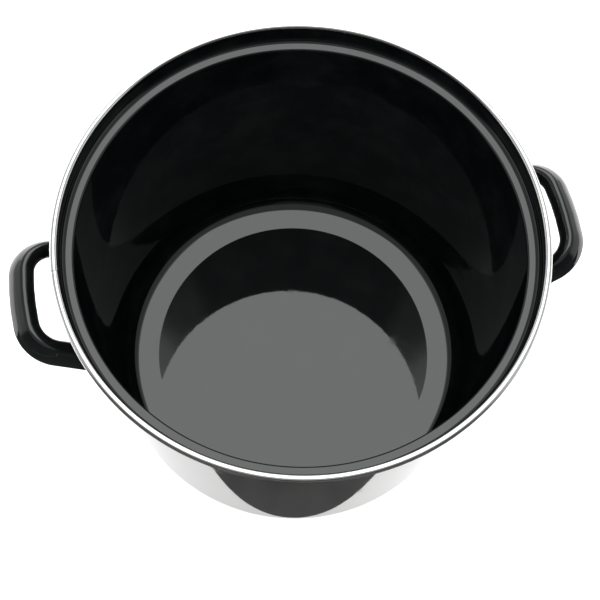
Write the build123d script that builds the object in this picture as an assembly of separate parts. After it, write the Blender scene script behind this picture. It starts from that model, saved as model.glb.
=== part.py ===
from build123d import *

import math
import os

# Water bath canner: a deep drawn, enamelled steel pot with a lid ledge under its mouth, a bright steel
# band crimped over its rolled rim, and two pressed channel handles welded to its wall.
# Frame: origin at the centre of the underside, +Z up, +X through the right-hand handle. Millimetres.

# Pot. Radii and heights are those of the inside surface, before its bends are rounded.
HEIGHT = 269.5               # underside to the top of the rim band
SHEET = 1.4                  # steel with its enamel
DISC_RADIUS = 127.3          # flat middle of the base
RING_SLOPE = 13.0            # rise of the ring round the flat middle, in degrees
FOOT_RADIUS = 157.8          # where the ring meets the wall
WALL_TOP_RADIUS = 158.0      # where the wall meets the ledge
MOUTH_RADIUS = 166.6         # upright band above the ledge
LEDGE_TOP = 254.0            # where the ledge meets the upright band
LEDGE_SLOPE = 13.0           # fall of the ledge towards the axis, in degrees
CREASE_BEND = 4.0
CORNER_BEND = 16.5
SHOULDER_BEND = 2.0
LEDGE_BEND = 4.8

# Rolled rim, and the band crimped over it. Angles are counted from the outward direction.
CURL_RADIUS = 2.05
CURL_END = -85.0
BAND_SHEET = 0.55
BAND_CLEARANCE = 0.05
BAND_LIP = 168.0             # where the band ends inside the mouth
BAND_HEM = -100.0            # where it ends under the curl
BUTT_GAP = 0.3               # between the band's two ends, over the left-hand handle

# Handles. A channel is bent round a flat loop that tilts up from the wall. Its crown is the line that
# the reach and the spans are given on, measured in the plane of the loop.
HANDLE_SHEET = 1.4
HANDLE_TILT = 27.0           # degrees above level
CROWN_ROOT_RADIUS = 159.4    # where the crown would meet the wall, from the pot's axis
CROWN_ROOT_HEIGHT = 219.2
GRIP_REACH = 39.8            # from there to the crown at the middle of the grip
GRIP_BOW = 3.6               # how far the middle of the grip stands out from its ends
GRIP_SPAN = 72.6             # between the two corners of the loop
FOOT_SPAN = 85.3             # between the arms where they meet the wall
LOOP_BEND = 22.0
BOW_BEND = 185.0
ARM_OVERRUN = 26.0           # extra length on each arm, cut off along the wall

# Outline of the handle channel on its outer side, away from the middle of the loop and up from its plane:
# turned lip, inner edge, crown, outer flank, outer edge, turned lip.
CHANNEL_POINTS = [(-3.4, -8.4), (-7.1, -8.0), (-7.0, -0.1), (2.6, 0.1), (7.4, -7.6), (9.2, -15.5), (5.4, -15.9)]
CHANNEL_BENDS = [2.0, 6.0, 4.5, 20.0, 2.0]

# Weld beads round the feet of the handles.
BEAD_WIDTH = 1.3
BEAD_REACH = 1.6

RIM_Z = HEIGHT - CURL_RADIUS - BAND_CLEARANCE - BAND_SHEET
RIM_CENTRE = (MOUTH_RADIUS + CURL_RADIUS, RIM_Z)


def beside(points, distance):
    """Corners of the line that runs beside a polyline, a distance to the right of its direction."""
    corners = [Vector(x, y) for x, y in points]
    sides = []
    for start, end in zip(corners, corners[1:]):
        along = (end - start).normalized()
        sides.append(Vector(along.Y, -along.X))
    shifted = [corners[0] + sides[0] * distance]
    for corner, before, after in zip(corners[1:], sides, sides[1:]):
        shifted.append(corner + (before + after) * (distance / (1 + before.dot(after))))
    shifted.append(corners[-1] + sides[-1] * distance)
    return shifted


def turns_left(points):
    """Whether a polyline turns left at each of its inner corners."""
    corners = [Vector(x, y) for x, y in points]
    legs = [end - start for start, end in zip(corners, corners[1:])]
    return [before.cross(after).Z > 0 for before, after in zip(legs, legs[1:])]


def bent_sheet(points, bends, thickness):
    """Section of a bent sheet, thickened to the right of a polyline with rounded corners."""
    far_points = beside(points, thickness)
    far_bends = []
    for bend, left in zip(bends, turns_left(points)):
        far_bends.append(bend + thickness if left else bend - thickness)
    with BuildSketch() as section:
        with BuildLine():
            near = FilletPolyline(*points, radius=bends)
            far = FilletPolyline(*far_points, radius=far_bends)
            Line(near @ 0, far @ 0)
            Line(near @ 1, far @ 1)
        make_face()
    return section.sketch


def ring_sector(centre, inner_radius, outer_radius, start, end):
    """Part of a flat ring, between two angles in degrees."""
    with BuildSketch() as section:
        with BuildLine():
            inner = CenterArc(centre, inner_radius, start, end - start)
            outer = CenterArc(centre, outer_radius, start, end - start)
            Line(inner @ 0, outer @ 0)
            Line(inner @ 1, outer @ 1)
        make_face()
    return section.sketch


def pot_corners():
    """Corners of the pot's inside surface, from the axis to the rolled rim."""
    foot_rise = (FOOT_RADIUS - DISC_RADIUS) * math.tan(math.radians(RING_SLOPE))
    ledge_fall = (MOUTH_RADIUS - WALL_TOP_RADIUS) * math.tan(math.radians(LEDGE_SLOPE))
    return [
        (0, SHEET),
        (DISC_RADIUS, SHEET),
        (FOOT_RADIUS, SHEET + foot_rise),
        (WALL_TOP_RADIUS, LEDGE_TOP - ledge_fall),
        (MOUTH_RADIUS, LEDGE_TOP),
        (MOUTH_RADIUS, RIM_Z),
    ]


def make_pot_shell():
    """The drawn pot: base, wall, ledge and rolled rim in one sheet."""
    bends = [CREASE_BEND, CORNER_BEND, SHOULDER_BEND, LEDGE_BEND]
    body = bent_sheet(pot_corners(), bends, SHEET)
    curl = ring_sector(RIM_CENTRE, CURL_RADIUS - SHEET, CURL_RADIUS, CURL_END, 180)
    return revolve(Plane.XZ * (body + curl), axis=Axis.Z)


def make_rim_band():
    """The bright band over the rolled rim, with its butt joint above the left-hand handle."""
    inner_radius = CURL_RADIUS + BAND_CLEARANCE
    section = ring_sector(RIM_CENTRE, inner_radius, inner_radius + BAND_SHEET, BAND_HEM, BAND_LIP)
    gap_angle = math.degrees(BUTT_GAP / RIM_CENTRE[0])
    band = revolve(Plane.XZ * section, axis=Axis.Z, revolution_arc=360 - gap_angle)
    return Rot(0, 0, 180 + gap_angle / 2) * band


def make_pot_core(growth=0.0):
    """Solid cone with the wall's outer face, or that face moved outwards, used to cut handles to fit."""
    corners = beside(pot_corners(), SHEET + growth)
    foot, shoulder = corners[2], corners[3]
    outline = Polyline((0, foot.Y), (foot.X, foot.Y), (shoulder.X, shoulder.Y), (0, shoulder.Y), close=True)
    return revolve(Plane.XZ * make_face(outline), axis=Axis.Z)


def loop_path():
    """Crown line of a handle lying flat, with the wall at x = 0, from one arm round the grip to the other."""
    corner_reach = GRIP_REACH - GRIP_BOW
    lean = (FOOT_SPAN - GRIP_SPAN) / 2 / corner_reach
    arm = [(-ARM_OVERRUN, FOOT_SPAN / 2 + ARM_OVERRUN * lean), (corner_reach, GRIP_SPAN / 2)]
    points = [(x, -y) for x, y in arm] + [(GRIP_REACH, 0)] + arm[::-1]
    return FilletPolyline(*points, radius=[LOOP_BEND, BOW_BEND, LOOP_BEND])


def swept(section, path):
    """Sweep a channel section along the loop, then tilt it and move it to the right-hand wall."""
    along = path % 0
    outward = Vector(along.Y, -along.X, 0)
    station = Plane(origin=path @ 0, x_dir=outward, z_dir=-along)
    place = Pos(CROWN_ROOT_RADIUS, 0, CROWN_ROOT_HEIGHT) * Rot(0, -HANDLE_TILT, 0)
    return place * sweep(station * section, path=path)


def make_handle(path):
    """The right-hand handle: a pressed channel, open underneath, cut to lie against the wall."""
    channel = bent_sheet(CHANNEL_POINTS, CHANNEL_BENDS, HANDLE_SHEET)
    return swept(channel, path) - make_pot_core()


def make_handle_welds(path):
    """The two weld beads along the outer side of the right-hand handle's feet."""
    outline = [(corner.X, corner.Y) for corner in beside(CHANNEL_POINTS, -BEAD_WIDTH)]
    bends = [bend + BEAD_WIDTH for bend in CHANNEL_BENDS]
    sleeve = swept(bent_sheet(outline, bends, BEAD_WIDTH), path)
    near_wall = make_pot_core(BEAD_REACH) - make_pot_core()
    return sleeve & near_wall


def save(name, shape):
    """Write one node and report its size."""
    solids = shape.solids()
    size = shape.bounding_box().size
    print(f"{name}: {len(solids)} solid(s), {shape.volume / 1000:.2f} cm3, "
          f"{size.X:.1f} x {size.Y:.1f} x {size.Z:.1f} mm")
    export_step(Compound(label=name, children=solids), f"parts/{name}.step")


def main():
    """Build every node and write its STEP file."""
    os.makedirs("parts", exist_ok=True)
    path = loop_path()
    handle = make_handle(path)
    welds = make_handle_welds(path)
    half_turn = Rot(0, 0, 180)
    save("pot_shell", make_pot_shell())
    save("rim_band", make_rim_band())
    save("right_handle", handle)
    save("left_handle", half_turn * handle)
    save("right_handle_welds", welds)
    save("left_handle_welds", half_turn * welds)


main()
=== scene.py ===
"""Water bath canner: a deep enamelled pot with a bright rim band and a loop handle on each side.

Lengths are in metres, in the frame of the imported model: the pot stands on z = 0, its axis is Z, and
its right-hand handle points along +X.
"""
import logging
import math
import random
from collections.abc import Callable
from dataclasses import dataclass
from enum import Enum

import bpy
from mathutils import Matrix, Vector


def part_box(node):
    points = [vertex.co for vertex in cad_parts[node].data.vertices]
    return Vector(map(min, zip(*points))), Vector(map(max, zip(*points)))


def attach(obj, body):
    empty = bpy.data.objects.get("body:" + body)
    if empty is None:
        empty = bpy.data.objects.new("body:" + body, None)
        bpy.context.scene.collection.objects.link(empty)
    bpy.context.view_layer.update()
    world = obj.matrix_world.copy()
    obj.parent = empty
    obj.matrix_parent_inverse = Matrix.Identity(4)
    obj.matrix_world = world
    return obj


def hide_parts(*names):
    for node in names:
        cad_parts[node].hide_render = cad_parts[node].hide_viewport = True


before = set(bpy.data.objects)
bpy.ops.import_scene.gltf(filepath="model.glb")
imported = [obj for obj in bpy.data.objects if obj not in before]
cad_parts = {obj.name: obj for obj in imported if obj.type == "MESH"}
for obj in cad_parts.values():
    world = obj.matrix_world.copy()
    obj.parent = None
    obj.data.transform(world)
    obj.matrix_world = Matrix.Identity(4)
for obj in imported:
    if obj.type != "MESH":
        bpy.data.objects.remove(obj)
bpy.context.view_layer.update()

log = logging.getLogger("canner")

Point = tuple[float, float]
Colour = tuple[float, float, float]
Socket = bpy.types.NodeSocket
Value = float | Socket

MM = 0.001
ROOT = "root"


# ---------------------------------------------------------------------------------------------
# Workbench: selecting, starting and finishing a mesh
# ---------------------------------------------------------------------------------------------


def clear_selection() -> None:
    """Deselect every object, the CAD nodes among them."""
    bpy.ops.object.select_all(action="DESELECT")


def take_up(piece: bpy.types.Object) -> None:
    """Make one object the only selected and active one.

    Args:
        piece: The object to work on.
    """
    clear_selection()
    piece.select_set(True)
    bpy.context.view_layer.objects.active = piece


def settle(piece: bpy.types.Object) -> None:
    """Put an object's place, turn and scale into its mesh.

    Args:
        piece: The object to settle at the origin.
    """
    take_up(piece)
    bpy.ops.object.transform_apply(location=True, rotation=True, scale=True)


def pick_points(piece: bpy.types.Object, wanted: Callable[[Vector], bool]) -> int:
    """Select the points of a mesh that a test accepts, and end in edit mode.

    Args:
        piece: The active object, in object or edit mode.
        wanted: A test of one point's place.

    Returns:
        How many points are selected.
    """
    bpy.ops.object.mode_set(mode="EDIT")
    bpy.ops.mesh.select_mode(type="VERT")
    bpy.ops.mesh.select_all(action="DESELECT")
    bpy.ops.object.mode_set(mode="OBJECT")
    count = 0
    for point in piece.data.vertices:
        point.select = bool(wanted(point.co))
        count += point.select
    bpy.ops.object.mode_set(mode="EDIT")
    return count


def fit_modifier(piece: bpy.types.Object, kind: str, **settings) -> None:
    """Add a modifier to a piece and apply it.

    Args:
        piece: The object that gets the modifier.
        kind: Blender's name for the type of modifier.
        **settings: Values for the modifier's properties.
    """
    take_up(piece)
    modifier = piece.modifiers.new(kind.title(), kind)
    for name, value in settings.items():
        setattr(modifier, name, value)
    bpy.ops.object.modifier_apply(modifier=modifier.name)


def smooth(piece: bpy.types.Object, crease: float = 40.0) -> None:
    """Shade a piece smooth, except across edges sharper than an angle.

    Args:
        piece: The object to shade.
        crease: The angle, in degrees.
    """
    take_up(piece)
    bpy.ops.object.shade_smooth_by_angle(angle=math.radians(crease))


def half_turned(piece: bpy.types.Object, name: str) -> bpy.types.Object:
    """Copy a piece to the other side of the pot, with a mesh of its own.

    Args:
        piece: The piece on the right-hand side.
        name: Name of the copy.

    Returns:
        The copy, settled at the origin.
    """
    take_up(piece)
    bpy.ops.object.duplicate(linked=False)
    copy = bpy.context.object
    copy.name = name
    copy.data.name = name
    copy.rotation_euler = (0.0, 0.0, math.pi)
    settle(copy)
    return copy


def hand_over(piece: bpy.types.Object, nodes: tuple[str, ...]) -> None:
    """Tie a finished piece to the pot's body, hide the CAD nodes that it stands for, and report it.

    Args:
        piece: The finished piece.
        nodes: The CAD nodes that it stands for.
    """
    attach(piece, ROOT)
    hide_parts(*nodes)
    log.info("%s: %d faces, for %s", piece.name, len(piece.data.polygons), ", ".join(nodes))


# ---------------------------------------------------------------------------------------------
# Sections of bent sheet
# ---------------------------------------------------------------------------------------------


@dataclass(frozen=True)
class SheetLine:
    """One face of a bent sheet, seen in section: its corners and the bend at each inner corner."""

    corners: tuple[Point, ...]
    bends: tuple[float, ...]

    def beside(self, distance: float) -> "SheetLine":
        """The line that runs to the right of this one.

        Args:
            distance: How far to the right, in metres.

        Returns:
            A line with mitred corners, whose bends have the same centres.
        """
        corners = [Vector(corner) for corner in self.corners]
        sides = []
        for start, end in zip(corners, corners[1:]):
            along = (end - start).normalized()
            sides.append(Vector((along.y, -along.x)))
        moved = [corners[0] + sides[0] * distance]
        bends = []
        for corner, before, after, bend in zip(corners[1:], sides, sides[1:], self.bends):
            moved.append(corner + (before + after) * (distance / (1.0 + before.dot(after))))
            bends.append(bend + distance if before.cross(after) > 0.0 else bend - distance)
        moved.append(corners[-1] + sides[-1] * distance)
        return SheetLine(tuple(tuple(corner) for corner in moved), tuple(bends))

    def traced(self, step: float, guard: float) -> list[Point]:
        """Points along the line, close together round its bends.

        Args:
            step: Largest turn between neighbouring points, in radians.
            guard: Distance from each end of a bend to an extra point, which keeps the flats flat.

        Returns:
            The points, from the first corner to the last.
        """
        corners = [Vector(corner) for corner in self.corners]
        trail = [corners[0]]
        for before, corner, after, bend in zip(corners, corners[1:], corners[2:], self.bends):
            back = (before - corner).normalized()
            ahead = (after - corner).normalized()
            turn = math.pi - back.angle(ahead)
            first = corner + back * (bend * math.tan(turn / 2))
            centre = corner + (back + ahead).normalized() * (bend / math.cos(turn / 2))
            spoke = first - centre
            signed = turn if (-back).cross(ahead) > 0.0 else -turn
            room = (first - trail[-1]).dot(-back)
            if len(trail) > 1 and room < 2 * guard:
                trail.pop()
            else:
                trail.append(first + back * guard)
            count = max(2, math.ceil(turn / step))
            for index in range(count + 1):
                trail.append(centre + Matrix.Rotation(signed * index / count, 2) @ spoke)
            trail.append(trail[-1] + ahead * guard)
        trail.append(corners[-1])
        return [(point.x, point.y) for point in trail]


def arc_points(centre: Point, radius: float, start: float, end: float, step: float) -> list[Point]:
    """Points on an arc.

    Args:
        centre: The arc's centre.
        radius: Its radius.
        start: The angle that it starts from, in degrees.
        end: The angle that it ends at, in degrees.
        step: Largest angle between neighbouring points, in degrees.

    Returns:
        The points, both ends among them.
    """
    count = math.ceil(abs(end - start) / step)
    points = []
    for index in range(count + 1):
        angle = math.radians(start + (end - start) * index / count)
        points.append((centre[0] + radius * math.cos(angle), centre[1] + radius * math.sin(angle)))
    return points


# ---------------------------------------------------------------------------------------------
# Effects shared by the finishes
# ---------------------------------------------------------------------------------------------


class Graph:
    """A node tree that is wired by short calls."""

    def __init__(self, tree: bpy.types.NodeTree) -> None:
        """Work on one tree.

        Args:
            tree: The material's, world's or group's node tree.
        """
        self.tree = tree

    def node(self, kind: str, inputs: dict | None = None, **settings) -> bpy.types.Node:
        """Add a node.

        Args:
            kind: Blender's name for the node's type.
            inputs: Values or output sockets for the node's inputs, by name or number.
            **settings: Values for the node's properties.

        Returns:
            The new node.
        """
        made = self.tree.nodes.new(kind)
        for name, value in settings.items():
            setattr(made, name, value)
        for key, value in (inputs or {}).items():
            if isinstance(value, Socket):
                self.tree.links.new(value, made.inputs[key])
            else:
                made.inputs[key].default_value = value
        return made

    def math(self, operation: str, *values: Value) -> Socket:
        """The result of a math node.

        Args:
            operation: What the node does.
            *values: Its numbers or output sockets, in order.

        Returns:
            The node's output.
        """
        made = self.node("ShaderNodeMath", dict(enumerate(values)), operation=operation)
        return made.outputs[0]

    def between(self, value: Socket, low: float, high: float, start: Value = 0.0, end: Value = 1.0) -> Socket:
        """A value eased from one range to another.

        Args:
            value: The output socket to read.
            low: Where the change starts.
            high: Where it ends.
            start: The result below low.
            end: The result above high.

        Returns:
            The eased output.
        """
        made = self.node("ShaderNodeMapRange", {0: value, 1: low, 2: high, 3: start, 4: end},
                         interpolation_type="SMOOTHSTEP")
        return made.outputs[0]

    def noise(self, where: Socket, scale: float, detail: float = 2.0, roughness: float = 0.5) -> Socket:
        """The grey value of a noise texture.

        Args:
            where: The coordinates that it reads.
            scale: Its scale, in cycles a metre.
            detail: Its octaves.
            roughness: The strength of the finer octaves.

        Returns:
            The noise's value output.
        """
        inputs = {"Vector": where, "Scale": scale, "Detail": detail, "Roughness": roughness}
        return self.node("ShaderNodeTexNoise", inputs).outputs[0]

    def blend(self, factor: Socket, low: Colour | Socket, high: Colour | Socket) -> Socket:
        """A colour between two others.

        Args:
            factor: 0 for the first colour, 1 for the second.
            low: The first colour, or its socket.
            high: The second colour, or its socket.

        Returns:
            The mixed colour.
        """
        made = self.node("ShaderNodeMix", data_type="RGBA")
        colours = (made.inputs[6], made.inputs[7])
        for socket, value in zip((made.inputs[0], *colours), (factor, low, high)):
            if isinstance(value, Socket):
                self.tree.links.new(value, socket)
            else:
                socket.default_value = (*value, 1.0)
        return made.outputs[2]


class Effect(Enum):
    """The patterns that more than one finish uses, by the names of their node groups."""

    RIPPLE = "fired_surface_ripple"
    SPECKS = "scattered_specks"
    WIPING = "wiping_marks"


def new_group(effect: Effect, inputs: tuple[str, ...], outputs: tuple[str, ...]) -> tuple[Graph, dict, dict]:
    """Start a node group with float inputs and outputs.

    Args:
        effect: The pattern that it holds.
        inputs: Names of its inputs, after the vector Where.
        outputs: Names of its outputs.

    Returns:
        The group's graph, its input sockets by name and its output sockets by name.
    """
    tree = bpy.data.node_groups.new(effect.value, "ShaderNodeTree")
    tree.interface.new_socket("Where", in_out="INPUT", socket_type="NodeSocketVector")
    for name in inputs:
        tree.interface.new_socket(name, in_out="INPUT", socket_type="NodeSocketFloat")
    for name in outputs:
        tree.interface.new_socket(name, in_out="OUTPUT", socket_type="NodeSocketFloat")
    source = tree.nodes.new("NodeGroupInput")
    sink = tree.nodes.new("NodeGroupOutput")
    reads = {socket.name: socket for socket in source.outputs if socket.name}
    gives = {socket.name: socket for socket in sink.inputs if socket.name}
    return Graph(tree), reads, gives


def make_ripple() -> None:
    """Slow swells and fine orange peel left by firing or drawing. It gives a height."""
    graph, reads, gives = new_group(Effect.RIPPLE, ("Swell Scale", "Peel Scale", "Peel Share"), ("Height",))
    swell = graph.noise(reads["Where"], 1.0, 1.0)
    graph.tree.links.new(reads["Swell Scale"], swell.node.inputs["Scale"])
    peel = graph.noise(reads["Where"], 1.0, 1.5, 0.4)
    graph.tree.links.new(reads["Peel Scale"], peel.node.inputs["Scale"])
    height = graph.math("MULTIPLY_ADD", peel, reads["Peel Share"], swell)
    graph.tree.links.new(height, gives["Height"])


def make_specks() -> None:
    """Small round pits and nibs, few and far between. It gives a mask and a height."""
    graph, reads, gives = new_group(Effect.SPECKS, ("Scale", "Size", "Share"), ("Mask", "Height"))
    cells = graph.node("ShaderNodeTexVoronoi", {"Vector": reads["Where"], "Scale": reads["Scale"]})
    drawn = graph.node("ShaderNodeSeparateColor", {0: cells.outputs["Color"]})
    chosen = graph.math("LESS_THAN", drawn.outputs[0], reads["Share"])
    size = graph.math("MULTIPLY", reads["Size"], graph.math("ADD", drawn.outputs[1], 0.35))
    near = graph.math("SUBTRACT", 1.0, graph.math("DIVIDE", cells.outputs["Distance"], size))
    dot = graph.between(near, 0.0, 0.7)
    mask = graph.math("MULTIPLY", dot, chosen)
    side = graph.math("SUBTRACT", graph.math("MULTIPLY", drawn.outputs[2], 2.0), 1.0)
    graph.tree.links.new(mask, gives["Mask"])
    graph.tree.links.new(graph.math("MULTIPLY", mask, side), gives["Height"])


def make_wiping() -> None:
    """Faint curved marks from wiping and handling. It gives a mask."""
    graph, reads, gives = new_group(Effect.WIPING, ("Scale", "Contrast"), ("Mask",))
    drift = graph.node("ShaderNodeTexNoise", {"Vector": reads["Where"], "Scale": 9.0, "Detail": 1.0})
    swirl = graph.node("ShaderNodeVectorMath", {0: drift.outputs["Color"], "Scale": 0.09}, operation="SCALE")
    moved = graph.node("ShaderNodeVectorMath", {0: reads["Where"], 1: swirl.outputs[0]}, operation="ADD")
    streaks = graph.noise(moved.outputs[0], 1.0, 3.0, 0.65)
    graph.tree.links.new(reads["Scale"], streaks.node.inputs["Scale"])
    patches = graph.noise(reads["Where"], 14.0, 2.0)
    both = graph.math("MULTIPLY", graph.between(streaks, 0.42, 0.72), graph.between(patches, 0.35, 0.7))
    graph.tree.links.new(graph.math("MULTIPLY", both, reads["Contrast"]), gives["Mask"])


def place_effect(graph: Graph, effect: Effect, where: Socket, **values: float) -> bpy.types.Node:
    """Put a shared effect into a material.

    Args:
        graph: The material's graph.
        effect: The pattern to place.
        where: The coordinates that it reads.
        **values: Its inputs, with a low line for each space in their names.

    Returns:
        The group node.
    """
    made = graph.node("ShaderNodeGroup", node_tree=bpy.data.node_groups[effect.value])
    graph.tree.links.new(where, made.inputs["Where"])
    for name, value in values.items():
        made.inputs[name.replace("_", " ")].default_value = value
    return made


# ---------------------------------------------------------------------------------------------
# Finishes
# ---------------------------------------------------------------------------------------------


def new_material(name: str) -> tuple[bpy.types.Material, Graph, bpy.types.Node]:
    """Start a material.

    Args:
        name: Its name.

    Returns:
        The material, its graph and its Principled BSDF.
    """
    material = bpy.data.materials.new(name)
    material.use_nodes = True
    return material, Graph(material.node_tree), material.node_tree.nodes["Principled BSDF"]


@dataclass(frozen=True)
class BlackEnamel:
    """Gloss vitreous enamel, fired black over steel."""

    name: str
    colour: Colour = (0.0012, 0.0017, 0.0019)
    thin_colour: Colour = (0.0040, 0.0044, 0.0046)
    nib_colour: Colour = (0.020, 0.021, 0.021)
    gloss_roughness: float = 0.028
    wiped_roughness: float = 0.085
    swell_scale: float = 16.0
    peel_scale: float = 140.0
    peel_share: float = 0.25
    ripple_depth: float = 0.000040
    speck_scale: float = 95.0
    speck_share: float = 0.030
    speck_size: float = 0.055
    speck_depth: float = 0.00012
    wiping_scale: float = 46.0
    cloud_scale: float = 28.0
    refraction: float = 1.5

    def make(self) -> bpy.types.Material:
        """Build the material.

        Returns:
            The enamel.
        """
        material, graph, surface = new_material(self.name)
        where = graph.node("ShaderNodeTexCoord").outputs["Object"]
        ripple = place_effect(graph, Effect.RIPPLE, where, Swell_Scale=self.swell_scale,
                              Peel_Scale=self.peel_scale, Peel_Share=self.peel_share)
        specks = place_effect(graph, Effect.SPECKS, where, Scale=self.speck_scale,
                              Size=self.speck_size, Share=self.speck_share)
        wiping = place_effect(graph, Effect.WIPING, where, Scale=self.wiping_scale, Contrast=1.0)
        clouds = graph.between(graph.noise(where, self.cloud_scale, 4.0, 0.6), 0.4, 0.75)
        base = graph.blend(clouds, self.colour, self.thin_colour)
        colour = graph.blend(specks.outputs["Mask"], base, self.nib_colour)
        rough = graph.between(wiping.outputs["Mask"], 0.0, 1.0, self.gloss_roughness, self.wiped_roughness)
        waves = graph.node("ShaderNodeBump", {"Height": ripple.outputs["Height"],
                                              "Distance": self.ripple_depth, "Strength": 1.0})
        pits = graph.node("ShaderNodeBump", {"Height": specks.outputs["Height"], "Strength": 1.0,
                                             "Distance": self.speck_depth, "Normal": waves.outputs[0]})
        graph.tree.links.new(colour, surface.inputs["Base Color"])
        graph.tree.links.new(rough, surface.inputs["Roughness"])
        graph.tree.links.new(pits.outputs[0], surface.inputs["Normal"])
        surface.inputs["IOR"].default_value = self.refraction
        return material


@dataclass(frozen=True)
class BrightStrip:
    """Rolled stainless strip, polished along its length."""

    name: str
    colour: Colour = (0.70, 0.70, 0.69)
    dull_colour: Colour = (0.50, 0.49, 0.47)
    bright_roughness: float = 0.16
    dull_roughness: float = 0.30
    grain_across: float = 5200.0
    grain_along: float = 22.0
    grain_depth: float = 0.0000025
    speck_scale: float = 260.0
    speck_size: float = 0.09
    speck_share: float = 0.05
    wiping_scale: float = 70.0
    swell_scale: float = 38.0
    peel_scale: float = 300.0
    peel_share: float = 0.08
    ripple_depth: float = 0.00003
    grain_shade: float = 0.25
    dull_shade: float = 0.6

    def _strip_coordinates(self, graph: Graph) -> Socket:
        """Coordinates that run along the strip, round the pot's axis.

        Args:
            graph: The material's graph.

        Returns:
            A vector of angle, distance from the axis and height, scaled for the grain.
        """
        where = graph.node("ShaderNodeTexCoord").outputs["Object"]
        parts = graph.node("ShaderNodeSeparateXYZ", {0: where}).outputs
        angle = graph.math("ARCTAN2", parts[1], parts[0])
        reach = graph.math("SQRT", graph.math("ADD", graph.math("MULTIPLY", parts[0], parts[0]),
                                              graph.math("MULTIPLY", parts[1], parts[1])))
        along = graph.math("MULTIPLY", angle, self.grain_along)
        out = graph.math("MULTIPLY", reach, self.grain_across)
        up = graph.math("MULTIPLY", parts[2], self.grain_across)
        return graph.node("ShaderNodeCombineXYZ", {0: along, 1: out, 2: up}).outputs[0]

    def make(self) -> bpy.types.Material:
        """Build the material.

        Returns:
            The strip's finish.
        """
        material, graph, surface = new_material(self.name)
        where = graph.node("ShaderNodeTexCoord").outputs["Object"]
        grain = graph.noise(self._strip_coordinates(graph), 1.0, 3.0, 0.6)
        wiping = place_effect(graph, Effect.WIPING, where, Scale=self.wiping_scale, Contrast=1.0)
        specks = place_effect(graph, Effect.SPECKS, where, Scale=self.speck_scale,
                              Size=self.speck_size, Share=self.speck_share)
        ripple = place_effect(graph, Effect.RIPPLE, where, Swell_Scale=self.swell_scale,
                              Peel_Scale=self.peel_scale, Peel_Share=self.peel_share)
        dull = graph.math("MAXIMUM", wiping.outputs["Mask"], specks.outputs["Mask"])
        shade = graph.math("MULTIPLY_ADD", graph.between(grain, 0.3, 0.7), self.grain_shade,
                           graph.math("MULTIPLY", dull, self.dull_shade))
        waves = graph.node("ShaderNodeBump", {"Height": ripple.outputs["Height"],
                                              "Distance": self.ripple_depth, "Strength": 1.0})
        scratches = graph.node("ShaderNodeBump", {"Height": grain, "Distance": self.grain_depth,
                                                  "Strength": 1.0, "Normal": waves.outputs[0]})
        graph.tree.links.new(graph.blend(shade, self.colour, self.dull_colour), surface.inputs["Base Color"])
        graph.tree.links.new(graph.between(shade, 0.0, 1.0, self.bright_roughness, self.dull_roughness),
                             surface.inputs["Roughness"])
        graph.tree.links.new(scratches.outputs[0], surface.inputs["Normal"])
        surface.inputs["Metallic"].default_value = 1.0
        return material


# ---------------------------------------------------------------------------------------------
# The pot
# ---------------------------------------------------------------------------------------------


@dataclass
class RolledRim:
    """The curl at the top of the pot, which the bright band is crimped over."""

    centre: Point
    curl_radius: float = 2.05 * MM
    curl_end: float = -85.0
    band_sheet: float = 0.55 * MM
    band_clearance: float = 0.05 * MM

    @classmethod
    def under_band(cls) -> "RolledRim":
        """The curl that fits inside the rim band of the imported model.

        Returns:
            The curl, with the middle of its section as a distance from the axis and a height.
        """
        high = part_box("rim_band")[1]
        outside = cls.curl_radius + cls.band_clearance + cls.band_sheet
        return cls(centre=(high.y - outside, high.z - outside))


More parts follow.
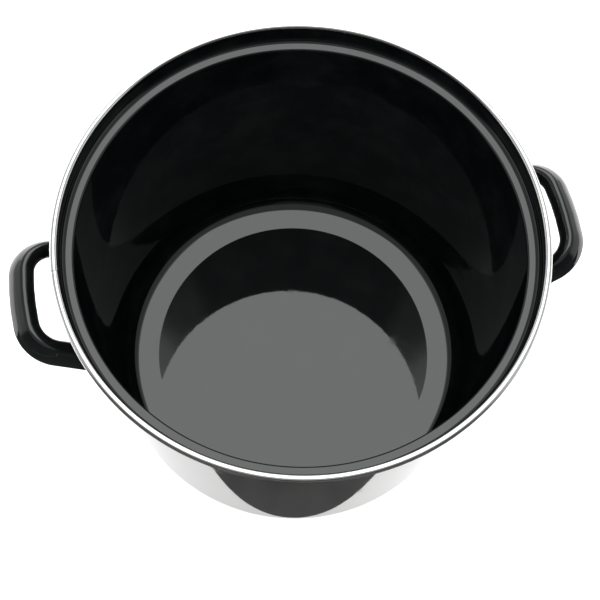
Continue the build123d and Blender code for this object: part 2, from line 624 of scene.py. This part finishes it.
@dataclass
class Pot:
    """The deep drawn pot: base, wall, lid ledge and rolled rim in one enamelled sheet."""

    rim: RolledRim
    enamel: BlackEnamel
    sheet: float = 1.4 * MM
    hub_radius: float = 24.0 * MM
    disc_radius: float = 127.3 * MM
    ring_slope: float = 13.0
    foot_radius: float = 157.8 * MM
    wall_top_radius: float = 158.0 * MM
    ledge_top: float = 254.0 * MM
    ledge_slope: float = 13.0
    bends: tuple[float, ...] = (4.0 * MM, 16.5 * MM, 2.0 * MM, 4.8 * MM)
    segments: int = 256
    bend_step: float = 6.0
    curl_step: float = 9.0
    guard: float = 0.5 * MM

    def inside(self) -> SheetLine:
        """The pot's inside face in section, from near the axis up to the rolled rim.

        Returns:
            The line, with the radius as its first coordinate and the height as its second.
        """
        centre_radius, centre_height = self.rim.centre
        mouth_radius = centre_radius - self.rim.curl_radius
        foot_rise = (self.foot_radius - self.disc_radius) * math.tan(math.radians(self.ring_slope))
        ledge_fall = (mouth_radius - self.wall_top_radius) * math.tan(math.radians(self.ledge_slope))
        corners = (
            (self.hub_radius, self.sheet),
            (self.disc_radius, self.sheet),
            (self.foot_radius, self.sheet + foot_rise),
            (self.wall_top_radius, self.ledge_top - ledge_fall),
            (mouth_radius, self.ledge_top),
            (mouth_radius, centre_height),
        )
        return SheetLine(corners, self.bends)

    def outline(self) -> list[Point]:
        """The closed section of the pot, from the middle of its floor to the middle of its underside.

        Returns:
            The points that rings are made at.
        """
        step = math.radians(self.bend_step)
        inside = self.inside()
        centre, curl = self.rim.centre, self.rim.curl_radius
        points = inside.traced(step, self.guard)
        points += arc_points(centre, curl, 180.0, self.rim.curl_end, self.curl_step)[1:]
        points += arc_points(centre, curl - self.sheet, self.rim.curl_end, 180.0, 2 * self.curl_step)[:-1]
        points += inside.beside(self.sheet).traced(step, self.guard)[::-1]
        return points

    def turn(self, name: str, outline: list[Point]) -> bpy.types.Object:
        """Draw a pot up out of a disc, ring by ring, and close it under the base.

        Args:
            name: Name of the piece.
            outline: Its section, as radii and heights.

        Returns:
            The closed shape.
        """
        clear_selection()
        bpy.ops.mesh.primitive_circle_add(vertices=self.segments, radius=outline[0][0], fill_type="TRIFAN",
                                          location=(0.0, 0.0, outline[0][1]))
        piece = bpy.context.object
        piece.name = name
        piece.data.name = name
        settle(piece)
        bpy.ops.object.mode_set(mode="EDIT")
        bpy.ops.mesh.select_mode(type="EDGE")
        bpy.ops.mesh.select_all(action="SELECT")
        bpy.ops.mesh.region_to_loop()
        for (radius, height), (next_radius, next_height) in zip(outline, outline[1:]):
            rise = (0.0, 0.0, next_height - height)
            share = next_radius / radius
            bpy.ops.mesh.extrude_region_move(TRANSFORM_OT_translate={"value": rise})
            bpy.ops.transform.resize(value=(share, share, 1.0), center_override=(0.0, 0.0, next_height))
        bpy.ops.mesh.extrude_region_move(TRANSFORM_OT_translate={"value": (0.0, 0.0, 0.0)})
        bpy.ops.mesh.merge(type="CENTER")
        bpy.ops.mesh.select_all(action="SELECT")
        bpy.ops.mesh.normals_make_consistent(inside=False)
        bpy.ops.object.mode_set(mode="OBJECT")
        return piece

    def build(self) -> bpy.types.Object:
        """Make and dress the pot.

        Returns:
            The finished pot.
        """
        piece = self.turn("pot_enamelled_steel", self.outline())
        smooth(piece)
        piece.data.materials.append(self.enamel.make())
        hand_over(piece, ("pot_shell",))
        return piece


# ---------------------------------------------------------------------------------------------
# The rim band
# ---------------------------------------------------------------------------------------------


@dataclass
class RimBand:
    """The bright strip crimped over the rolled rim, with its butt joint above the left-hand handle."""

    rim: RolledRim
    strip: BrightStrip
    lip_angle: float = 168.0
    hem_angle: float = -100.0
    butt_gap: float = 0.3 * MM
    section_points: int = 90
    segments: int = 240
    edge_round: float = 0.10 * MM
    angle_slack: float = 0.1

    def _section(self) -> bpy.types.Object:
        """The band's C-shaped section as a flat face strip, standing at +X.

        Returns:
            The strip, in edit mode with all of it selected.
        """
        radius, height = self.rim.centre
        inner = self.rim.curl_radius + self.rim.band_clearance
        outer = inner + self.rim.band_sheet
        spacing = 360.0 / self.section_points
        clear_selection()
        bpy.ops.mesh.primitive_circle_add(vertices=self.section_points, radius=outer,
                                          location=(radius, 0.0, height),
                                          rotation=(math.pi / 2, math.radians(spacing / 2), 0.0))
        piece = bpy.context.object
        piece.name = "rim_band_bright_strip"
        piece.data.name = piece.name
        settle(piece)

        def in_the_opening(place: Vector) -> bool:
            """Whether a point lies past the lip or the hem."""
            angle = math.degrees(math.atan2(place.z - height, place.x - radius))
            turned = (angle - self.hem_angle) % 360.0
            return self.lip_angle - self.hem_angle + self.angle_slack < turned < 360.0 - self.angle_slack

        pick_points(piece, in_the_opening)
        bpy.ops.mesh.delete(type="VERT")
        bpy.ops.mesh.select_mode(type="EDGE")
        bpy.ops.mesh.select_all(action="SELECT")
        bpy.ops.mesh.extrude_region_move(TRANSFORM_OT_translate={"value": (0.0, 0.0, 0.0)})
        share = inner / outer
        bpy.ops.transform.resize(value=(share, 1.0, share), center_override=(radius, 0.0, height))
        bpy.ops.mesh.select_mode(type="FACE")
        bpy.ops.mesh.select_all(action="SELECT")
        return piece

    def build(self) -> bpy.types.Object:
        """Make and dress the band.

        Returns:
            The finished band.
        """
        piece = self._section()
        gap = self.butt_gap / self.rim.centre[0]
        bpy.ops.mesh.spin(steps=self.segments, angle=2 * math.pi - gap, center=(0.0, 0.0, 0.0),
                          axis=(0.0, 0.0, -1.0))
        bpy.ops.mesh.select_all(action="SELECT")
        bpy.ops.mesh.normals_make_consistent(inside=False)
        bpy.ops.object.mode_set(mode="OBJECT")
        piece.rotation_euler = (0.0, 0.0, math.pi + gap / 2)
        settle(piece)
        fit_modifier(piece, "BEVEL", width=self.edge_round, segments=2, limit_method="ANGLE",
                     angle_limit=math.radians(50.0))
        smooth(piece)
        piece.data.materials.append(self.strip.make())
        hand_over(piece, ("rim_band",))
        return piece


# ---------------------------------------------------------------------------------------------
# The handles
# ---------------------------------------------------------------------------------------------


@dataclass
class LoopHandles:
    """The pair of pressed channel handles and the weld beads at their feet."""

    pot: Pot
    enamel: BlackEnamel
    sheet: float = 1.4 * MM
    tilt: float = 27.0
    root_radius: float = 159.4 * MM
    root_height: float = 219.2 * MM
    reach: float = 39.8 * MM
    bow: float = 3.6 * MM
    grip_span: float = 72.6 * MM
    foot_span: float = 85.3 * MM
    loop_bend: float = 22.0 * MM
    bow_bend: float = 185.0 * MM
    overrun: float = 26.0 * MM
    channel: tuple[Point, ...] = (
        (-3.4 * MM, -8.4 * MM),
        (-7.1 * MM, -8.0 * MM),
        (-7.0 * MM, -0.1 * MM),
        (2.6 * MM, 0.1 * MM),
        (7.4 * MM, -7.6 * MM),
        (9.2 * MM, -15.5 * MM),
        (5.4 * MM, -15.9 * MM),
    )
    channel_bends: tuple[float, ...] = (2.0 * MM, 6.0 * MM, 4.5 * MM, 20.0 * MM, 2.0 * MM)
    channel_step: float = 9.0
    loop_step: float = 4.0
    guard: float = 0.35 * MM
    edge_round: float = 0.55 * MM
    bead_radius: float = 1.15 * MM
    bead_spread: tuple[float, float] = (0.90, 1.06)
    bead_seed: int = 7
    foot_middle: float = 8.5 * MM
    wall_slack: float = 0.03 * MM

    def _loop(self) -> SheetLine:
        """The crown line of the loop lying flat, with the wall at x = 0.

        Returns:
            The line, from the arm on the -Y side round the grip to the other arm.
        """
        corner_reach = self.reach - self.bow
        lean = (self.foot_span - self.grip_span) / 2 / corner_reach
        arm = (-self.overrun, self.foot_span / 2 + self.overrun * lean)
        corner = (corner_reach, self.grip_span / 2)
        corners = ((arm[0], -arm[1]), (corner[0], -corner[1]), (self.reach, 0.0), corner, arm)
        return SheetLine(corners, (self.loop_bend, self.bow_bend, self.loop_bend))

    def _pressed_strip(self, name: str, start: Vector, outward: Vector) -> bpy.types.Object:
        """A short strip pressed row by row into the channel's shape, at the start of the loop.

        Args:
            name: Name of the piece.
            start: Where the crown line starts.
            outward: Unit vector from the middle of the loop, across its crown line.

        Returns:
            The strip, in edit mode with its rows in place.
        """
        rows = SheetLine(self.channel, self.channel_bends).traced(math.radians(self.channel_step), self.guard)
        clear_selection()
        bpy.ops.mesh.primitive_grid_add(x_subdivisions=len(rows) - 1, y_subdivisions=1, size=1.0)
        piece = bpy.context.object
        piece.name = name
        piece.data.name = name
        spacing = 1.0 / (len(rows) - 1)
        for index, (across, up) in enumerate(rows):
            place = index * spacing - 0.5

            def on_row(point: Vector, place: float = place) -> bool:
                """Whether a point of the flat strip lies on this row's front end."""
                return abs(point.x - place) < spacing / 4 and point.y < 0.0 and point.z == 0.0

            pick_points(piece, on_row)
            seat = start + outward * across + Vector((0.0, 0.0, up))
            shift = seat - Vector((place, -0.5, 0.0))
            bpy.ops.transform.translate(value=shift)
        pick_points(piece, lambda point: point.y > 0.4)
        bpy.ops.mesh.delete(type="VERT")
        bpy.ops.mesh.select_mode(type="EDGE")
        bpy.ops.mesh.select_all(action="SELECT")
        return piece

    def _pull_round(self, line: SheetLine) -> None:
        """Pull the selected section along the loop, with straight runs and turned corners.

        Args:
            line: The loop's crown line.
        """
        corners = [Vector(corner) for corner in line.corners]
        reached = corners[0]
        for before, corner, after, bend in zip(corners, corners[1:], corners[2:], line.bends):
            along = (corner - before).normalized()
            onward = (after - corner).normalized()
            turn = along.angle(onward)
            bend_start = corner - along * (bend * math.tan(turn / 2))
            centre = bend_start + Vector((-along.y, along.x)) * bend
            self._run(reached, bend_start)
            bpy.ops.mesh.spin(steps=max(3, math.ceil(math.degrees(turn) / self.loop_step)), angle=turn,
                              center=(centre.x, centre.y, 0.0), axis=(0.0, 0.0, -1.0))
            reached = corner + onward * (bend * math.tan(turn / 2))
        self._run(reached, corners[-1])

    def _run(self, start: Vector, end: Vector) -> None:
        """Extrude the selected section straight from one point to another, with a guard at each end.

        Args:
            start: Where the crown line is.
            end: Where it goes to.
        """
        way = end - start
        guard = way.normalized() * min(self.guard, way.length / 4)
        for leg in (guard, way - guard * 2, guard):
            bpy.ops.mesh.extrude_region_move(TRANSFORM_OT_translate={"value": (leg.x, leg.y, 0.0)})

    def _wall_ends(self) -> tuple[Point, Point]:
        """The lowest and highest corners of the outside of the pot's wall, in section."""
        corners = self.pot.inside().beside(self.pot.sheet).corners
        return corners[2], corners[3]

    def _wall_cone(self) -> bpy.types.Object:
        """A cone as large as the outside of the pot's wall, to cut the arms along.

        Returns:
            The cutter.
        """
        (foot_radius, foot_height), (top_radius, top_height) = self._wall_ends()
        clear_selection()
        bpy.ops.mesh.primitive_cone_add(vertices=self.pot.segments, radius1=foot_radius, radius2=top_radius,
                                        depth=top_height - foot_height,
                                        location=(0.0, 0.0, (top_height + foot_height) / 2))
        return bpy.context.object

    def _channel_loop(self) -> bpy.types.Object:
        """The right-hand handle, swept, thickened, tilted and cut to the wall.

        Returns:
            The handle.
        """
        line = self._loop()
        start = Vector((*line.corners[0], 0.0))
        along = (Vector((*line.corners[1], 0.0)) - start).normalized()
        piece = self._pressed_strip("right_handle_channel", start, Vector((along.y, -along.x, 0.0)))
        self._pull_round(line)
        bpy.ops.mesh.select_all(action="SELECT")
        bpy.ops.mesh.remove_doubles(threshold=0.000001)
        bpy.ops.mesh.normals_make_consistent(inside=False)
        bpy.ops.object.mode_set(mode="OBJECT")
        crown = max(piece.data.polygons, key=lambda face: face.center.z)
        if crown.normal.z < 0.0:
            bpy.ops.object.mode_set(mode="EDIT")
            bpy.ops.mesh.flip_normals()
            bpy.ops.object.mode_set(mode="OBJECT")
        fit_modifier(piece, "SOLIDIFY", thickness=self.sheet, offset=-1.0, use_even_offset=True,
                     use_quality_normals=True)
        fit_modifier(piece, "BEVEL", width=self.edge_round, segments=3, limit_method="ANGLE",
                     angle_limit=math.radians(60.0))
        piece.rotation_euler = (0.0, -math.radians(self.tilt), 0.0)
        piece.location = (self.root_radius, 0.0, self.root_height)
        settle(piece)
        cutter = self._wall_cone()
        fit_modifier(piece, "BOOLEAN", operation="DIFFERENCE", solver="EXACT", object=cutter)
        bpy.data.objects.remove(cutter)
        return piece

    def _foot_edges(self, piece: bpy.types.Object) -> list[int]:
        """The edges where the outer side of a handle's channel meets the wall.

        Args:
            piece: The cut handle.

        Returns:
            The edges' indices.
        """
        mesh = piece.data
        (foot_radius, foot_height), (top_radius, top_height) = self._wall_ends()
        lean = (top_radius - foot_radius) / (top_height - foot_height)
        on_wall = []
        for point in mesh.vertices:
            reach = math.hypot(point.co.x, point.co.y)
            wall = foot_radius + lean * (point.co.z - foot_height)
            on_wall.append(abs(reach - wall) < self.wall_slack)
        chosen = set()
        for face in mesh.polygons:
            if all(on_wall[index] for index in face.vertices):
                continue
            for key in face.edge_keys:
                if not (on_wall[key[0]] and on_wall[key[1]]):
                    continue
                place = (mesh.vertices[key[0]].co + mesh.vertices[key[1]].co) / 2
                side = math.copysign(self.foot_span / 2, place.y)
                middle = Vector((place.x, side, self.root_height - self.foot_middle))
                if face.normal.dot(place - middle) > 0.0:
                    chosen.add(key)
        return [edge.index for edge in mesh.edges if edge.key in chosen]

    def _weld_beads(self, handle: bpy.types.Object) -> bpy.types.Object:
        """The two weld beads along the outer side of a handle's feet, under the enamel.

        Args:
            handle: The cut handle on the right-hand side.

        Returns:
            The beads, as one piece.
        """
        chosen = self._foot_edges(handle)
        take_up(handle)
        bpy.ops.object.mode_set(mode="EDIT")
        bpy.ops.mesh.select_mode(type="EDGE")
        bpy.ops.mesh.select_all(action="DESELECT")
        bpy.ops.object.mode_set(mode="OBJECT")
        for index in chosen:
            handle.data.edges[index].select = True
        bpy.ops.object.mode_set(mode="EDIT")
        bpy.ops.mesh.duplicate()
        bpy.ops.mesh.separate(type="SELECTED")
        bpy.ops.object.mode_set(mode="OBJECT")
        beads = next(made for made in bpy.context.selected_objects if made is not handle)
        beads.name = "right_handle_weld_beads"
        take_up(beads)
        beads.data.materials.clear()
        bpy.ops.object.convert(target="CURVE")
        beads.data.bevel_depth = self.bead_radius
        beads.data.bevel_resolution = 5
        beads.data.use_fill_caps = True
        draw = random.Random(self.bead_seed)
        for spline in beads.data.splines:
            for point in spline.points:
                point.radius = draw.uniform(*self.bead_spread)
        bpy.ops.object.convert(target="MESH")
        beads.data.name = beads.name
        return beads

    def build(self) -> list[bpy.types.Object]:
        """Make and dress both handles and their weld beads.

        Returns:
            The four pieces.
        """
        handle = self._channel_loop()
        beads = self._weld_beads(handle)
        finish = self.enamel.make()
        for piece in (handle, beads):
            smooth(piece)
            piece.data.materials.clear()
            piece.data.materials.append(finish)
        left_handle = half_turned(handle, "left_handle_channel")
        left_beads = half_turned(beads, "left_handle_weld_beads")
        hand_over(handle, ("right_handle",))
        hand_over(left_handle, ("left_handle",))
        hand_over(beads, ("right_handle_welds",))
        hand_over(left_beads, ("left_handle_welds",))
        return [handle, left_handle, beads, left_beads]


# ---------------------------------------------------------------------------------------------
# The studio
# ---------------------------------------------------------------------------------------------


@dataclass(frozen=True)
class PaintedReflectionCard:
    """A glowing card of painted reflection, lying on the floor, which only gloss reflections show.

    Its sides are distances from the pot's axis, across the camera's side and towards it.
    """

    name: str
    across: tuple[float, float]
    near: float
    far: float
    height: float
    colour: Colour
    mottle: float = 0.85


@dataclass
class Studio:
    """The plain pale floor, the glowing cards of painted reflection, the soft light and the camera.

    The sky's edges are shares of a unit direction: up, towards the camera's side, or across it.
    """

    heading: float = 15.0
    camera_place: tuple[float, float, float] = (-0.0706, -0.2634, 0.8499)
    camera_aim: tuple[float, float, float] = (-0.01137, -0.04885, 0.2672)
    camera_roll: float = 4.85
    lens: float = 56.34
    floor_size: float = 12.0
    floor_shade: float = 0.80
    lamp_size: float = 12.0
    lamp_height: float = 3.0
    lamp_power: float = 1500.0
    ceiling: float = 3.2
    ceiling_side: tuple[float, float] = (0.285, 0.345)
    ceiling_haze: tuple[float, float] = (0.33, 0.46)
    ceiling_haze_share: float = 0.2
    ceiling_front: tuple[float, float] = (0.04, 0.13)
    ceiling_foot: tuple[float, float] = (0.40, 0.55)
    horizon: float = 1.0
    upper_walls: float = 0.58
    wall_fade: tuple[float, float] = (0.15, 0.50)
    front_dark: float = 0.10
    front_edge: tuple[float, float] = (0.20, 0.40)
    front_top: tuple[float, float] = (0.60, 0.80)
    sky_colour: Colour = (0.985, 1.0, 0.995)
    card_turn: float = -10.4
    cards: tuple[PaintedReflectionCard, ...] = (
        # Painted reflections: the first card is painted shade, standing in for the floor in shade in front of
        # the pot; the second is a painted reflection of a brown thing there.
        PaintedReflectionCard("studio_dark_card", (-5.0, 5.0), 0.1625, 5.0, 0.0002, (0.13, 0.13, 0.128)),
        PaintedReflectionCard("studio_brown_card", (-0.068, 0.082), 0.198, 0.5, 0.0004, (0.057, 0.026, 0.014)),
    )

    def _level_way(self, turn: float) -> tuple[float, float, float]:
        """A level direction, at an angle in degrees from the one towards the camera's side."""
        angle = math.radians(self.heading + turn)
        return (-math.sin(angle), -math.cos(angle), 0.0)

    def add_floor(self) -> None:
        """Lay the pale floor."""
        clear_selection()
        bpy.ops.mesh.primitive_plane_add(size=self.floor_size, location=(0.0, 0.0, -0.0002))
        floor = bpy.context.object
        floor.name = "studio_floor"
        settle(floor)
        material, graph, surface = new_material("pale_paper_floor")
        where = graph.node("ShaderNodeTexCoord").outputs["Object"]
        tone = graph.between(graph.noise(where, 6.0, 3.0), 0.3, 0.7)
        shade = self.floor_shade
        paper = graph.blend(tone, (shade, shade, shade), (shade * 1.02, shade * 1.02, shade * 1.01))
        graph.tree.links.new(paper, surface.inputs["Base Color"])
        surface.inputs["Roughness"].default_value = 0.9
        surface.inputs["Specular IOR Level"].default_value = 0.2
        floor.data.materials.append(material)

    def add_card(self, card: PaintedReflectionCard) -> None:
        """Lay one glowing card of painted reflection where only gloss reflections show it.

        Args:
            card: Its place and the colour of its painted reflection.
        """
        clear_selection()
        bpy.ops.mesh.primitive_plane_add(size=1.0)
        piece = bpy.context.object
        piece.name = card.name
        left, right = card.across
        piece.dimensions = (right - left, card.far - card.near, 0.0)
        turn = Matrix.Rotation(math.radians(self.card_turn), 4, "Z")
        middle = turn @ Vector(((left + right) / 2, -(card.near + card.far) / 2, card.height))
        piece.location = middle
        piece.rotation_euler = (0.0, 0.0, math.radians(self.card_turn))
        settle(piece)
        material, graph, surface = new_material(card.name + "_glow")
        surface.inputs["Base Color"].default_value = (0.0, 0.0, 0.0, 1.0)
        surface.inputs["Specular IOR Level"].default_value = 0.0
        where = graph.node("ShaderNodeTexCoord").outputs["Object"]
        tone = graph.between(graph.noise(where, 30.0, 2.0), 0.35, 0.65)
        dim = tuple(value * card.mottle for value in card.colour)
        # The card's emission colour is painted reflection, a glow that only gloss reflections meet.
        graph.tree.links.new(graph.blend(tone, dim, card.colour), surface.inputs["Emission Color"])
        surface.inputs["Emission Strength"].default_value = 1.0
        piece.data.materials.append(material)
        piece.visible_camera = False
        piece.visible_diffuse = False
        piece.visible_shadow = False
        piece.visible_transmission = False

    def add_lamp(self) -> None:
        """Hang one large soft lamp overhead, which gloss reflections do not show."""
        clear_selection()
        bpy.ops.object.light_add(type="AREA", location=(0.0, 0.0, self.lamp_height))
        lamp = bpy.context.object
        lamp.name = "studio_lamp"
        lamp.data.size = self.lamp_size
        lamp.data.energy = self.lamp_power
        lamp.visible_camera = False
        lamp.visible_glossy = False

    def add_sky(self) -> None:
        """Show gloss reflections a bright panel overhead and behind, dim walls and a dark front."""
        world = bpy.data.worlds.new("studio_light")
        bpy.context.scene.world = world
        world.use_nodes = True
        world.cycles_visibility.diffuse = False
        graph = Graph(world.node_tree)
        world.node_tree.nodes.clear()
        way = graph.node("ShaderNodeTexCoord").outputs["Generated"]
        up = graph.node("ShaderNodeSeparateXYZ", {0: way}).outputs[2]
        front, side = (graph.node("ShaderNodeVectorMath", {0: way, 1: self._level_way(turn)},
                                  operation="DOT_PRODUCT").outputs["Value"] for turn in (0.0, 90.0))
        aside = graph.math("ABSOLUTE", side)
        walls = graph.between(up, *self.wall_fade, self.horizon, self.upper_walls)
        beyond = graph.between(front, *self.front_edge, 1.0, self.front_dark)
        lit = graph.between(up, *self.front_top, beyond, 1.0)
        haze = self.ceiling_haze_share
        across = graph.math("ADD", graph.between(aside, *self.ceiling_side, 1.0 - haze, 0.0),
                            graph.between(aside, *self.ceiling_haze, haze, 0.0))
        along = graph.math("MULTIPLY", graph.between(front, *self.ceiling_front, 1.0, 0.0),
                           graph.between(up, *self.ceiling_foot))
        panel = graph.math("MULTIPLY", graph.math("MULTIPLY", across, along), self.ceiling)
        strength = graph.math("MULTIPLY_ADD", walls, lit, panel)
        seen = graph.node("ShaderNodeLightPath").outputs["Is Camera Ray"]
        shown = graph.math("MAXIMUM", strength, seen)
        light = graph.node("ShaderNodeBackground", {"Color": (*self.sky_colour, 1.0), "Strength": shown})
        sink = graph.node("ShaderNodeOutputWorld")
        graph.tree.links.new(light.outputs[0], sink.inputs[0])

    def add_camera(self) -> None:
        """Stand the camera where it looks steeply down at the pot, slightly turned about its own line."""
        data = bpy.data.cameras.new("studio_camera")
        camera = bpy.data.objects.new("studio_camera", data)
        bpy.context.scene.collection.objects.link(camera)
        data.lens = self.lens
        data.sensor_width = 36.0
        data.clip_start = 0.01
        place, aim = Vector(self.camera_place), Vector(self.camera_aim)
        level = (aim - place).to_track_quat("-Z", "Y").to_matrix().to_4x4()
        roll = Matrix.Rotation(math.radians(self.camera_roll), 4, "Z")
        camera.matrix_world = Matrix.Translation(place) @ level @ roll
        bpy.context.scene.camera = camera

    def build(self) -> None:
        """Set up the studio."""
        self.add_floor()
        for card in self.cards:
            self.add_card(card)
        self.add_lamp()
        self.add_sky()
        self.add_camera()
        bpy.context.scene.view_settings.view_transform = "Standard"


# ---------------------------------------------------------------------------------------------


def corners(box: tuple[Vector, Vector]) -> list[list[float]]:
    """A box as plain lists of numbers."""
    return [[float(value) for value in corner] for corner in box]


def main() -> None:
    """Build the canner in order, then the studio."""
    logging.basicConfig(level=logging.INFO, format="%(name)s: %(message)s")
    make_ripple()
    make_specks()
    make_wiping()
    rim = RolledRim.under_band()
    pot = Pot(rim=rim, enamel=BlackEnamel("black_enamel_pot"))
    pot.build()
    RimBand(rim=rim, strip=BrightStrip("bright_stainless_strip")).build()
    LoopHandles(pot=pot, enamel=BlackEnamel("black_enamel_handles", swell_scale=40.0)).build()
    Studio().build()


if __name__ == "__main__":
    main()
